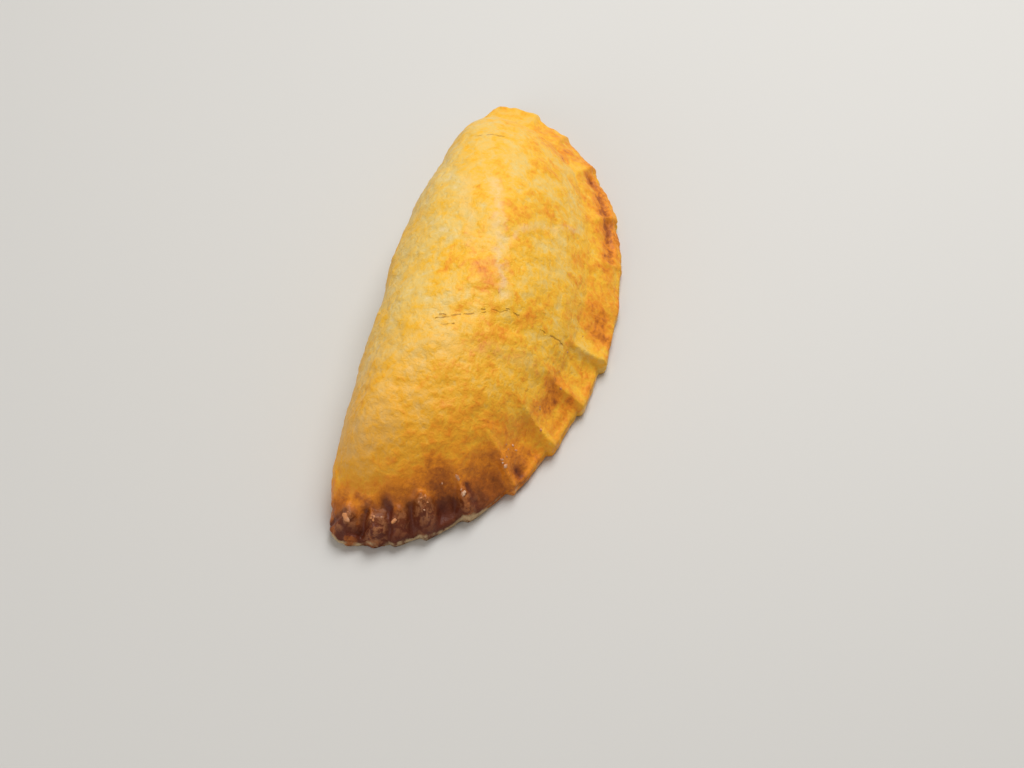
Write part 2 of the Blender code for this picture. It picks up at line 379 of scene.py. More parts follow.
# Pale streaks on the dome, where the crust is also duller, in metres: from, to, half width and strength.
STREAKS = (
    ((0.0254, 0.0065), (-0.0100, -0.0058), 0.0026, 1.0),
    ((0.0240, 0.0140), (0.0020, 0.0070), 0.0030, 0.4),
    ((0.0061, -0.0016), (0.0269, -0.0139), 0.0015, 0.7),
    ((-0.0297, 0.0034), (-0.0216, -0.0162), 0.0030, 0.22),
)

# Fine cracks in the glaze, in metres: from, to, half width and strength.
CRACKS = (
    ((-0.0228, 0.0082), (-0.0188, 0.0002), 0.00030, 1.0),
    ((0.0431, 0.0174), (0.0447, 0.0104), 0.00034, 1.0),
    ((-0.0215, 0.0070), (-0.0198, 0.0018), 0.00034, 1.0),
    ((-0.0190, 0.0006), (-0.0172, -0.0034), 0.00034, 1.0),
    ((-0.0166, -0.0022), (-0.0142, -0.0080), 0.00034, 1.0),
    ((-0.0240, 0.0060), (-0.0232, 0.0030), 0.00034, 1.0),
    ((-0.0136, -0.0078), (-0.0128, -0.0110), 0.00034, 1.0),
    ((-0.0118, -0.0158), (-0.0099, -0.0206), 0.00034, 1.0),
)

# The crust's gloss and fine relief.
ROUGHNESS = {"start": 0.54, "patches": 0.30, "streaks": 0.15, "lip": 0.20, "under": 0.20}
COAT = {"start": 0.10, "streaks": -0.05, "lip": -0.10, "under": -0.10}
COAT_ROUGHNESS = 0.3
SPECULAR = 0.25
RELIEF = {"start": 0.0, "mottles": 0.8, "flecks": 0.8, "freckles": 0.4, "cracks": -0.8}
CRUST_BUMP = {"Strength": 0.65, "Distance": 0.0007}

# The chips' finish.
CHIP_PATCHES = (0.004, 2.0)
CHIP_FRECKLES = (0.0003, 3.0, 0.6)
CHIP_ROUGHNESS = {"start": 0.7, "freckles": 0.3}
CHIP_BUMP = {"Strength": 0.5, "Distance": 0.0001}

# The stage. A light is its place and its width, and the camera stands at the photograph's angle.
FLOOR_SIZE = 6.0
FLOOR_ROUGHNESS = 0.7
KEY_LIGHT = ((0.34, -0.08, 0.64), 0.50)
FILL_LIGHT = ((-0.58, 0.26, 0.36), 0.50)
SKY_COLOUR = (1.0, 0.94, 0.86)
CAMERA_EYE = (-0.47294, -0.17719, 0.61334)
CAMERA_AIM = (-0.02333, -0.01095, 0.012)
CAMERA_ROLL = -5.1
CAMERA_LENS = 107.0
CAMERA_SENSOR = 36.0
CAMERA_CLIP = (0.01, 20.0)


def srgb(red, green, blue):
    """A colour as it looks on a screen, 0 to 255, as the linear values that Blender works in."""
    shares = np.array([red, green, blue]) / 255
    linear = np.where(shares <= 0.04045, shares / 12.92, ((shares + 0.055) / 1.055) ** 2.4)
    return tuple(float(value) for value in linear)


def length_setting(label, note, default):
    return FloatProperty(name=label, description=note, default=default, min=0.0, precision=4, unit="LENGTH")


def colour_setting(label, note, *screen):
    return FloatVectorProperty(
        name=label, description=note, default=srgb(*screen), size=3, min=0.0, max=1.0, subtype="COLOR"
    )


def power_setting(label, note, default):
    return FloatProperty(name=label, description=note, default=default, min=0.0, unit="POWER")


class MeatPieForm(bpy.types.PropertyGroup):
    """The baked pie's driving sizes."""

    length: length_setting("Length", "From corner to corner", CAD_HIGH.x - CAD_LOW.x)
    height: length_setting("Height", "From the base to the top of the dome, without the lumps", 0.034)
    seam_bow: length_setting("Seam bow", "How far the seam bows out from the line between the corners", 0.051)
    fold_bow: length_setting("Fold bow", "How far the fold bows out on the other side", 0.0085)
    filling_length: length_setting("Filling length", "The filling's length under the crust", 0.130)
    filling_bow: length_setting("Filling bow", "How far the filling bows out towards the seam", 0.0432)
    foot_height: length_setting("Seam foot", "Height at which the dome meets the pressed seam", 0.0110)
    rim_height: length_setting("Rim thickness", "Thickness of the two layers of dough at the rim", 0.0038)


class MeatPieCrust(bpy.types.PropertyGroup):
    """The crust's colours, from raw dough to scorched."""

    dough: colour_setting("Dough", "Dough that the oven hardly browned", 236, 212, 164)
    pale: colour_setting("Pale crust", "Thinly glazed crust along the fold", 231, 197, 113)
    golden: colour_setting("Golden crust", "Glazed crust on the dome", 244, 185, 46)
    orange: colour_setting("Orange crust", "Glaze that gathered and browned", 234, 142, 28)
    brown: colour_setting("Brown crust", "Crust along the seam", 168, 88, 24)
    # Dark crust is also the painted shade deep in the corner's pits and splits.
    dark: colour_setting("Dark crust", "Creases, pits and scorched edges", 98, 40, 18)
    # Dusty crust is also the painted highlight on the tops of the corner's lobes and knobs; on the chips it
    # is their own dry dough.
    dusty_and_lobe_highlight: colour_setting("Dusty crust", "Knobs of dough that dried before they browned", 206, 138, 88)
    flour: colour_setting("Flour", "Dry bits of floured dough", 240, 226, 202)


class MeatPieStage(bpy.types.PropertyGroup):
    """The plain studio round the pie."""

    floor: colour_setting("Floor", "Colour of the plain floor", 208, 207, 204)
    key_power: power_setting("Key light", "Power of the large soft light", 4.5)
    fill_power: power_setting("Fill light", "Power of the weaker light", 1.0)
    sky: FloatProperty(
        name="Sky", description="Strength of the even light from all round", default=0.33, min=0.0
    )


def smooth_step(low, high, value):
    """0 below low, 1 above high and an even S between them."""
    share = np.clip((value - low) / (high - low), 0.0, 1.0)
    return share * share * (3 - 2 * share)


def hump(value, middle, spread):
    """A bell that is 1 at its middle."""
    return np.exp(-0.5 * ((value - middle) / spread) ** 2)


def mix(first, second, share):
    return first + (second - first) * share


def half_ellipse(length, bow, lean=0.0, power=1.0, count=None):
    """Points along half an ellipse, from the +X corner round to the -X one, at equal steps."""
    turn = np.linspace(0.0, math.pi, OUTLINE_POINTS)
    curve = np.stack([np.cos(turn), np.sin(turn) ** power * (1 + lean * np.cos(turn))])
    curve *= np.array([0.5 * length, bow])[:, None]
    along = np.concatenate([[0.0], np.cumsum(np.hypot(*np.diff(curve)))])
    count = count or round(along[-1] / STATION_STEP)
    wanted = np.linspace(0.0, along[-1], count, endpoint=False)
    return np.stack([np.interp(wanted, along, values) for values in curve])


def rounded(outline, spread):
    """A closed outline with its corners rounded, by averaging each point with its neighbours."""
    reach = math.ceil(BELL_REACH * spread / STATION_STEP)
    offsets = np.arange(-reach, reach + 1)
    weights = hump(offsets * STATION_STEP, 0.0, spread)
    shifted = [weight * np.roll(outline, offset, axis=1) for weight, offset in zip(weights, offsets)]
    return np.sum(shifted, axis=0) / weights.sum()


def outward(outline):
    """The outline's unit normals in plan, pointing out of the pie."""
    along = np.roll(outline, -1, axis=1) - np.roll(outline, 1, axis=1)
    normals = np.stack([along[1], -along[0]])
    return normals / np.hypot(*normals)


def grain(x, y, size, layers=2):
    """Even noise from about -1 to 1, with grains of this size in metres."""
    places = np.stack([x.ravel(), y.ravel()], axis=1) / size
    spots = [Vector((spot_x, spot_y, LAYER_SHIFT * layers)) for spot_x, spot_y in places]
    values = [noise.fractal(spot, LAYER_FALL, LAYER_STEP, layers) for spot in spots]
    return np.array(values).reshape(x.shape)


class Plan:
    """The pie seen from above: its rim, the filling's outline inside it, and what each station belongs to."""

    def __init__(self, form):
        self.form = form
        fold = half_ellipse(form.length, form.fold_bow, FOLD_LEAN)
        seam = -half_ellipse(form.length, form.seam_bow)
        filled = form.filling_length
        filling = [
            half_ellipse(filled, form.fold_bow, FOLD_LEAN, FILLING_SQUARENESS, fold.shape[1]),
            -half_ellipse(filled, form.filling_bow, FILLING_LEAN, FILLING_SQUARENESS, seam.shape[1]),
        ]
        self.foot = rounded(np.concatenate(filling, axis=1), FILLING_ROUNDING)
        self.rim = rounded(np.concatenate([fold, seam], axis=1), CORNER_ROUNDING)
        self.rim[0] *= 0.5 * form.length / self.rim[0].max()
        self.normals = outward(self.rim)
        stations = self.rim.shape[1]
        station = np.arange(stations)
        on_fold = station < fold.shape[1]
        self.from_pinch = np.abs(station - fold.shape[1]) * STATION_STEP
        self.from_far_corner = np.minimum(station, stations - station) * STATION_STEP
        from_corner = np.minimum(self.from_pinch, self.from_far_corner)
        self.wall = on_fold * smooth_step(0.0, FOLD_FULL, from_corner)
        self.fullness = on_fold * smooth_step(0.0, FOLD_DOME_FULL, from_corner)
        self.seam_place = (stations - station) * STATION_STEP

        flare = PINCH_FLARE * on_fold * hump(self.from_pinch, PINCH_FLARE_AT, PINCH_FLARE_LENGTH)
        wave = sum(share * np.sin(self.rim[0] / length + start) for length, share, start in FOLD_WAVES)
        ragged = grain(self.rim[0], self.rim[1], RIM_RAGGED_SIZE, RIM_RAGGED_LAYERS)
        self.swell = flare + FOLD_WAVE_HEIGHT * wave * self.wall + RIM_RAGGED * ragged * (1 - self.wall)

    def spine(self, x):
        """The y of the pie's highest line, which lies nearer the fold than the seam."""
        form = self.form
        bow = np.sqrt(np.maximum(0.0, 1 - (2 * x / form.length) ** 2))
        return bow * (form.fold_bow - PEAK_SHARE * (form.fold_bow + form.seam_bow))


def pleats_at(place):
    """At places along the seam: the ridge's height, the way out to its tip, and the press between two."""
    places = np.array([ridge[0] for ridge in RIDGES]) * MM
    heights = np.array([ridge[1] for ridge in RIDGES])
    ahead = np.clip(np.searchsorted(places, place), 1, len(places) - 1)
    next_height = heights[ahead]
    last_height = heights[ahead - 1]
    before = place - places[ahead - 1]
    left = places[ahead] - place
    share = np.clip(before / (before + left), 0.0, 1.0)

    def flank(distance, length):
        return np.exp(-(np.sqrt(distance**2 + RIDGE_ROUNDING**2) - RIDGE_ROUNDING) / length)

    rising = next_height * flank(left, RIDGE_LONG_FLANK)
    falling = last_height * flank(before, RIDGE_SHORT_FLANK)
    crest = np.maximum(rising, falling)
    step = 1 - smooth_step(0.0, TIP_STEP_IN, before)
    tip = np.maximum(next_height * share**TIP_GROWTH, last_height * step)
    press = np.minimum(next_height, last_height) * np.sin(math.pi * share) ** PRESS_FLATNESS
    return crest, tip, press


def filling_relief(x, y):
    """Height that the lumps of filling, the creases and the wrinkles add to the dome."""
    rng = np.random.default_rng(LUMP_SEED)
    total = np.zeros_like(x)
    for _ in range(LUMP_COUNT):
        draws = [rng.uniform(low, high) * length for low, high, length in LUMP_DRAWS.values()]
        lump_x, lump_y, radius, rise = draws
        total += rise * hump(np.hypot(x - lump_x, y - lump_y), 0.0, radius)
    for crease in CREASES:
        across = y - CREASE_MIDDLE
        line = crease["x"] + crease["slope"] * across + CREASE_WAVE * np.sin(across / CREASE_WAVE_LENGTH)
        span = np.exp(-((across / CREASE_HALF_SPAN) ** CREASE_END_POWER))
        total -= crease["depth"] * span * hump(x, line, crease["width"])
    along = x * WRINKLE_DIRECTION[0] + y * WRINKLE_DIRECTION[1]
    across = x * WRINKLE_DIRECTION[1] - y * WRINKLE_DIRECTION[0]
    slack = mix(WRINKLE_LEAST, 1.0, hump(x, WRINKLE_MIDDLE, WRINKLE_HALF_SPAN))
    total += WRINKLE_DEPTH * slack * grain(along / WRINKLE_STRETCH, across, WRINKLE_SIZE, WRINKLE_LAYERS)
    return total


def dome_rings(plan, foot_height):
    """Rings from the top of the dome out to its foot, along curves that meet the foot nearly square."""
    form = plan.form
    share = np.sin(0.5 * math.pi * (np.arange(DOME_RINGS) / DOME_RINGS) ** DOME_RING_POWER)[:, None]
    x = plan.foot[0] * mix(1 - (1 - share) ** 2, share, PATH_TURN)
    y = mix(plan.spine(x), plan.foot[1], share)
    towards_end = (plan.foot[0] / (0.5 * form.filling_length)) ** FILLING_END_POWER
    power = mix(FAR_SEAM_DOME_POWER, SEAM_DOME[1], smooth_step(*FAR_SEAM_UNTIL, plan.seam_place))
    seam_fall = (1 - share ** SEAM_DOME[0]) ** mix(power, END_DOME_POWER, towards_end)
    fold_fall = (1 - share ** FOLD_DOME[0]) ** FOLD_DOME[1]
    z = mix(foot_height, form.height, mix(seam_fall, fold_fall, plan.fullness))
    z += filling_relief(x, y) * (1 - smooth_step(*LUMPS_FADE, share))
    return np.stack([x, y, z])


def edge_rings(plan, foot_height):
    """Rings from the dome's foot over the pleated seam, or down the fold's wall, to the edge of the base."""
    out = np.arange(SEAM_RINGS)[:, None] / SEAM_RINGS
    down = np.arange(LIP_RINGS)[:, None] / LIP_RINGS
    rim_height = plan.form.rim_height + FAR_CORNER_THICKER * hump(plan.from_far_corner, 0.0, PINCH_LENGTH)
    seam_xy = [mix(f, r - n * RIM_ROUNDING, out) for f, r, n in zip(plan.foot, plan.rim, plan.normals)]
    lip_inset = RIM_ROUNDING * (2 * down - 1) ** 2 + RIM_GROOVE * hump(down, *RIM_GROOVE_AT)
    lip_xy = [r - n * lip_inset for r, n in zip(plan.rim, plan.normals)]
    hollow = mix(FAR_SEAM_HOLLOW, SEAM_HOLLOW, smooth_step(*FAR_SEAM_UNTIL, plan.seam_place))
    seam_z = mix(rim_height, foot_height, (1 - out) ** hollow)
    lip_z = rim_height * (1 - down)
    seam = np.concatenate([np.stack([*seam_xy, seam_z]), np.stack([*lip_xy, lip_z])], axis=1)

    turn = 0.5 * math.pi * np.arange(SEAM_RINGS + LIP_RINGS)[:, None] / (SEAM_RINGS + LIP_RINGS)
    tuck = FOLD_TUCK * (1 - np.cos(turn))
    widening = np.sqrt(np.sin(turn))
    wall_xy = [mix(f, r, widening) - n * tuck for f, r, n in zip(plan.foot, plan.rim, plan.normals)]
    wall = np.stack([*wall_xy, foot_height * (1 - np.sin(turn))])
    return mix(seam, wall, plan.wall)


def corner_relief(x, y):
    """The pinched corner's relief, how much of it is lobe, and how deep a pit or split a place is in."""
    rise = np.zeros_like(x)
    depth = np.zeros_like(x)
    for lobe_x, lobe_y, radius, height in np.array(LOBES + KNOBS) * MM:
        away = np.hypot(x - lobe_x, y - lobe_y) / radius
        rise += height * np.exp(-LOBE_STEEPNESS * away**LOBE_POWER)
    for pit_x, pit_y, radius, deep in np.array(PITS) * MM:
        depth += deep * hump(np.hypot(x - pit_x, y - pit_y), 0.0, radius)
    for start_x, start_y, end_x, end_y, half_width, deep in np.array(SPLITS) * MM:
        run = np.array([end_x - start_x, end_y - start_y])
        share = np.clip(((x - start_x) * run[0] + (y - start_y) * run[1]) / (run @ run), 0.0, 1.0)
        away = np.hypot(x - start_x - share * run[0], y - start_y - share * run[1])
        depth += deep * hump(away, 0.0, half_width)
    return rise - depth, rise, depth


def skin(form):
    """The crust's points by ring, from the top down, and by station, and what its finish reads at each."""
    plan = Plan(form)
    foot_height = mix(form.foot_height, FOLD_WIDEST_HEIGHT, plan.wall)
    upper = np.concatenate([dome_rings(plan, foot_height), edge_rings(plan, foot_height)], axis=1)
    seam_width = form.seam_bow - form.filling_bow

    inset = np.hypot(*(upper[:2] - plan.rim[:, None, :]))
    crest, tip, press = pleats_at(plan.seam_place - RIDGE_SLANT * inset)
    seam = 1 - plan.wall
    near_rim = seam * (1 - smooth_step(RIM_ROUNDING, RIDGE_REACH, inset))
    bowl = seam * hump(inset, PRESS_AT * seam_width, PRESS_SPREAD * seam_width)
    rise = RIDGE_HEIGHT * crest * near_rim - PRESS_DEPTH * press * bowl
    on_lip = seam * hump(inset, 0.5 * LIP_WIDTH, 0.5 * LIP_WIDTH)
    grooved = np.zeros_like(inset)
    for start, end in GROOVES:
        begun = smooth_step(start - GROOVE_FADE, start, plan.seam_place)
        ended = smooth_step(end, end + GROOVE_FADE, plan.seam_place)
        grooved = grooved + begun * (1 - ended) * hump(inset, GROOVE_INSET, GROOVE_HALF_WIDTH)
    rise += LIP_RISE * on_lip * smooth_step(*LIP_FADE, plan.seam_place) - GROOVE_DEPTH * grooved
    upper[2] += rise * np.clip(upper[2] / form.rim_height, 0.0, 1.0)
    out = plan.swell + TIP_STEP * (tip - TIP_MIDDLE) * near_rim
    upper[:2] += out * (1 - smooth_step(0.0, SWELL_REACH * seam_width, inset)) * plan.normals[:, None, :]

    # The pie's frame has its origin under the middle of its box.
    for axis in upper[:2]:
        axis -= (axis.min() + axis.max()) / 2
    relief, lobes, depth = corner_relief(upper[0], upper[1])
    upper[2] = np.maximum(upper[2] + relief * np.clip(upper[2] / form.rim_height, 0.0, 1.0), 0.0)

    edge = upper[:, -1, :] * np.array([1.0, 1.0, 0.0])[:, None]
    share = (np.arange(BASE_RINGS + 1) / BASE_RINGS)[:, None]
    middle = np.array([0.0, 0.5 * (edge[1].min() + edge[1].max()), 0.0])[:, None, None]
    base = mix(edge[:, None, :], middle, share)
    points = np.concatenate([upper, base], axis=1)

    rings, stations = points.shape[1:]
    lip = np.clip((np.arange(rings) - DOME_RINGS - SEAM_RINGS) / LIP_RINGS, 0.0, 1.0)[:, None] * seam
    under = np.arange(rings)[:, None] >= upper.shape[1]
    below = np.zeros((BASE_RINGS + 1, stations))
    marks = {"seam": np.concatenate([near_rim, below + seam])}
    above = {
        "ridge": crest * near_rim,
        "press": press * bowl,
        "pit": depth / (PIT_FULL * MM),
        "lobe": lobes / (LOBE_FULL * MM),
        "groove": grooved,
    }
    for name, values in above.items():
        marks[name] = np.concatenate([np.clip(values, 0.0, 1.0), below])
    marks["lip"] = lip * np.ones(stations)
    marks["under"] = under * np.ones(stations)
    return points, marks


def roll_skin(sheet, points, marks):
    """Rolls a flat grid, a column a station and a row a ring, into the closed skin, and marks it."""
    mesh = sheet.data
    flat = np.empty(len(mesh.vertices) * 3)
    mesh.vertices.foreach_get("co", flat)
    x, y, _ = flat.reshape(-1, 3).T / flat.max()
    rings, stations = points.shape[1:]
    station = np.rint((x + 1) / 2 * stations).astype(int) % stations
    ring = np.rint((1 - y) / 2 * (rings - 1)).astype(int)
    mesh.vertices.foreach_set("co", points[:, ring, station].T.ravel())
    for name, values in marks.items():
        attribute = mesh.attributes.new(name, "FLOAT", "POINT")
        attribute.data.foreach_set("value", values[ring, station].astype(np.float32))
    mesh.update()
    bpy.ops.object.mode_set(mode="EDIT")
    bpy.ops.mesh.select_all(action="SELECT")
    bpy.ops.mesh.remove_doubles(threshold=CLOSING_GAP)
    bpy.ops.mesh.normals_make_consistent(inside=False)
    bpy.ops.object.mode_set(mode="OBJECT")


def add_relief(piece, name, size, strength, group):
    """Pushes the piece's skin in and out by a cloudy texture, and applies that."""
    texture = bpy.data.textures.new(name, "CLOUDS")
    texture.noise_scale = size
    bump = piece.modifiers.new(name, "DISPLACE")
    bump.texture = texture
    bump.texture_coords = "LOCAL"
    bump.mid_level = 0.5
    bump.strength = strength
    bump.vertex_group = group
    bpy.ops.object.modifier_apply(modifier=bump.name)


class Channel:
    """One socket of a finish. An expression on channels and numbers adds the Math nodes that work it out."""

    def __init__(self, finish, socket):
        self.finish = finish
        self.socket = socket

    def __add__(self, other):
        return self.finish.math("ADD", self, other)

    def __sub__(self, other):
        return self.finish.math("SUBTRACT", self, other)

    def __rsub__(self, other):
        return self.finish.math("SUBTRACT", other, self)

    def __mul__(self, other):
        return self.finish.math("MULTIPLY", self, other)

    def __truediv__(self, other):
        return self.finish.math("DIVIDE", self, other)

    def __pow__(self, other):
        return self.finish.math("POWER", self, other)

    __radd__ = __add__
    __rmul__ = __mul__

    def clipped(self):
        return self.finish.node("ShaderNodeClamp", {}, {"Value": self})

    def rising(self, low, high):
        """0 at low, 1 at high and smooth between. Low may be the larger, for a fall."""
        settings = {"interpolation_type": "SMOOTHSTEP"}
        if low < high:
            return self.finish.node("ShaderNodeMapRange", settings, {"Value": self, 1: low, 2: high})
        return 1 - self.finish.node("ShaderNodeMapRange", settings, {"Value": self, 1: high, 2: low})


class Finish:
    """A material's nodes, added by what they work out."""

    def __init__(self, name):
        self.material = bpy.data.materials.new(name)
        self.material.use_nodes = True
        self.nodes = self.material.node_tree.nodes
        self.links = self.material.node_tree.links
        self.shader = self.nodes["Principled BSDF"]

    def feed(self, socket, value):
        """Links a channel to the socket, or sets the socket's own value."""
        if isinstance(value, Channel):
            self.links.new(value.socket, socket)
        else:
            socket.default_value = value

    def node(self, kind, settings, inputs, output=0):
        """A node with its settings, such as a ramp's stops, then its sockets. Gives the named output."""
        made = self.nodes.new(kind)
        for name, value in settings.items():
            if name == "stops":
                self.set_stops(made.color_ramp.elements, value)
            else:
                setattr(made, name, value)
        for name, value in inputs.items():
            self.feed(made.inputs[name], value)
        return Channel(self, made.outputs[output])

    def set_stops(self, elements, stops):
        """Gives a ramp these stops, each a position and a colour."""
        while len(elements) < len(stops):
            elements.new(0.5)
        for element, (position, colour) in zip(elements, stops):
            element.position = position
            element.color = opaque(colour)

    def math(self, operation, *values):
        return self.node("ShaderNodeMath", {"operation": operation}, dict(enumerate(values)))

    def attribute(self, name):
        return self.node("ShaderNodeAttribute", {"attribute_name": name}, {}, "Fac")

    def grain(self, place, size, detail=2.0, roughness=0.5, warp=0.0):
        """Noise from 0 to 1 with grains of this size in metres."""
        inputs = {"Vector": place, "Scale": 1 / size, "Detail": detail, "Roughness": roughness}
        return self.node("ShaderNodeTexNoise", {}, {**inputs, "Distortion": warp})

    def wander(self, place, x, y, sizes, roughness, reach):
        """The place in plan, pushed about by grains of these sizes, so that what is drawn by it is uneven."""
        grains = [self.grain(place, size, WANDER_DETAIL, roughness) for size in sizes]
        push_x, push_y = [(grain - GRAIN_MIDDLE) * reach for grain in grains]
        return x + push_x, y + push_y

    def blend(self, share, first, second):
        """A colour on the way from the first to the second, by a share that is kept from 0 to 1."""
        settings = {"data_type": "RGBA", "clamp_factor": True}
        return self.node("ShaderNodeMix", settings, {0: share, 6: first, 7: second}, 2)

    def near_spot(self, x, y, middle, radius):
        """1 at the middle of a round spot in plan and 0 from its radius on."""
        off_x = x - middle[0]
        off_y = y - middle[1]
        return ((off_x * off_x + off_y * off_y) ** 0.5).rising(radius, 0.0)

    def near_line(self, x, y, start, end, half_width):
        """1 on the line between two points in plan and 0 from its half width on."""
        run_x = end[0] - start[0]
        run_y = end[1] - start[1]
        square = run_x**2 + run_y**2
        share = (((x - start[0]) * run_x + (y - start[1]) * run_y) / square).clipped()
        return self.near_spot(x - share * run_x, y - share * run_y, start, half_width)

    def near_lines(self, x, y, lines):
        """The sum of some lines, each given as its two ends, its half width and its strength."""
        return sum(self.near_line(x, y, *line) * strength for *line, strength in lines)


def opaque(colour):
    return (*colour, 1.0)


def weighed(weights, **amounts):
    """The start value of the weights, with each amount added by its weight."""
    total = weights["start"]
    for name, amount in amounts.items():
        total = total + amount * weights[name]
    return total


def crust_finish(crust):
    """Egg-washed crust, by how far each place browned: pale on the fold, golden on top, brown by the seam.
    Painted shade darkens the low seam side, the seam near the pinched end, the presses, pits and splits;
    painted highlight lightens the ridges and the corner's lobes.
    """
    finish = Finish("baked_crust")
    place = finish.node("ShaderNodeTexCoord", {}, {}, "Object")
    x, y, z = (finish.node("ShaderNodeSeparateXYZ", {}, {"Vector": place}, axis) for axis in "XYZ")
    names = ("seam", "ridge", "press", "pit", "lobe", "groove", "lip", "under")
    seam, ridge, press, pit, lobe, groove, lip, under = (finish.attribute(name) for name in names)
    grains = (finish.grain(place, *values) for values in CRUST_GRAINS.values())
    patches, mottles, flecks, freckles, spots, dashes = grains
    warp_x, warp_y = finish.wander(place, x, y, *WANDER)
    fine_x, fine_y = finish.wander(place, x, y, *FINE_WANDER)

    near_end = x.rising(*NEAR_END_X)
    near_seam = x.rising(*NEAR_SEAM_X) * seam
    fold_side = y.rising(*FOLD_SIDE_Y)
    calm = 1 - near_seam * NEAR_SEAM_CALM - fold_side * FOLD_SIDE_CALM
    # Painted highlight on the ridges' crests, in patches.
    painted_ridge_highlight = ridge * flecks.rising(*EDGES["ridge"])
    # The sum below is browning plus painted shade and painted highlight.
    browned_and_painted_light = weighed(
        BROWNING_AND_PAINTED_LIGHT,
        patches=(patches - GRAIN_MIDDLE) * calm,
        mottles=(mottles - GRAIN_MIDDLE) * calm,
        flecks=flecks - GRAIN_MIDDLE,
        freckles=freckles - GRAIN_MIDDLE,
        spots=spots.rising(*EDGES["spots"]),
        near_end=near_end,
        near_tip=x.rising(*NEAR_TIP_X),
        far_end=x.rising(*FAR_END_X),
        fold_side=fold_side,
        near_fold=fold_side * near_end,
        # Painted shade low on the seam's side.
        low_side=z.rising(*LOW_Z) * y.rising(*SEAM_SIDE_Y),
        seam=seam,
        # Painted shade on the seam near the pinched end.
        near_seam=near_seam,
        # Painted shade in the presses.
        press=press,
        groove=groove,
        # Painted shade in the pits and splits.
        pit=pit,
        ridge=painted_ridge_highlight,
        near_ridge=painted_ridge_highlight * near_seam,
        lobe=lobe,
        lobe_mottles=(mottles - GRAIN_MIDDLE) * lobe,
    )
    for middle, radius, gain in GLAZE_SPOTS:
        browned_and_painted_light = browned_and_painted_light + finish.near_spot(warp_x, warp_y, middle, radius) * gain
    stops = [(position, getattr(crust, name)) for name, position in BROWNING_AND_PAINTED_LIGHT_STOPS.items()]
    colour = finish.node("ShaderNodeValToRGB", {"stops": stops}, {"Fac": browned_and_painted_light.clipped()})

    streaks = finish.near_lines(warp_x, warp_y, STREAKS) * flecks.rising(*EDGES["streaks"])
    cracks = (finish.near_lines(fine_x, fine_y, CRACKS) * dashes.rising(*EDGES["cracks"])).clipped()
    layers = {
        "warmed": (near_end * (1 - pit) * (1 - near_seam), crust.orange),
        "streaks": (streaks, crust.dough),
        # Painted highlight in pale patches on the tops of the corner's lobes and knobs.
        "lobe_highlight": (lobe * flecks.rising(*EDGES["lobe_highlight"]) * (1 - pit), crust.dusty_and_lobe_highlight),
        "cracks": (cracks, crust.brown),
        "raw": (lip.rising(*EDGES["lip"]) * mottles.rising(*EDGES["raw"]), crust.dough),
    }
    for name, (share, tint) in layers.items():
        colour = finish.blend(share * COVERS[name], colour, opaque(tint))
    finish.feed(finish.shader.inputs["Base Color"], colour)

    dull = {"streaks": streaks, "lip": lip, "under": under}
    roughness = weighed(ROUGHNESS, patches=patches - GRAIN_MIDDLE, **dull)
    finish.feed(finish.shader.inputs["Roughness"], roughness.clipped())
    finish.feed(finish.shader.inputs["Coat Weight"], weighed(COAT, **dull).clipped())
    finish.shader.inputs["Coat Roughness"].default_value = COAT_ROUGHNESS
    finish.shader.inputs["Specular IOR Level"].default_value = SPECULAR
    height = weighed(RELIEF, mottles=mottles, flecks=flecks, freckles=freckles, cracks=cracks)
    bump = finish.node("ShaderNodeBump", {}, {**CRUST_BUMP, "Height": height})
    finish.feed(finish.shader.inputs["Normal"], bump)
    return finish.material


def chip_finish(crust):
    """Dry, floured bits of dough, browned in places."""
    finish = Finish("dry_chips")
    place = finish.node("ShaderNodeTexCoord", {}, {}, "Object")
    patches = finish.grain(place, *CHIP_PATCHES)
    freckles = finish.grain(place, *CHIP_FRECKLES)
    floured = patches.rising(*EDGES["floured"]) * COVERS["floured"]
    colour = finish.blend(floured, opaque(crust.dusty_and_lobe_highlight), opaque(crust.flour))
    baked = freckles.rising(*EDGES["baked"]) * COVERS["baked"]
    colour = finish.blend(baked, colour, opaque(crust.orange))
    finish.feed(finish.shader.inputs["Base Color"], colour)
    roughness = weighed(CHIP_ROUGHNESS, freckles=freckles - GRAIN_MIDDLE)
    finish.feed(finish.shader.inputs["Roughness"], roughness.clipped())
    bump = finish.node("ShaderNodeBump", {}, {**CHIP_BUMP, "Height": freckles})
    finish.feed(finish.shader.inputs["Normal"], bump)
    return finish.material


def floor_finish(stage):
    finish = Finish("pale_floor")
    finish.shader.inputs["Base Color"].default_value = opaque(stage.floor)
    finish.shader.inputs["Roughness"].default_value = FLOOR_ROUGHNESS
    return finish.material


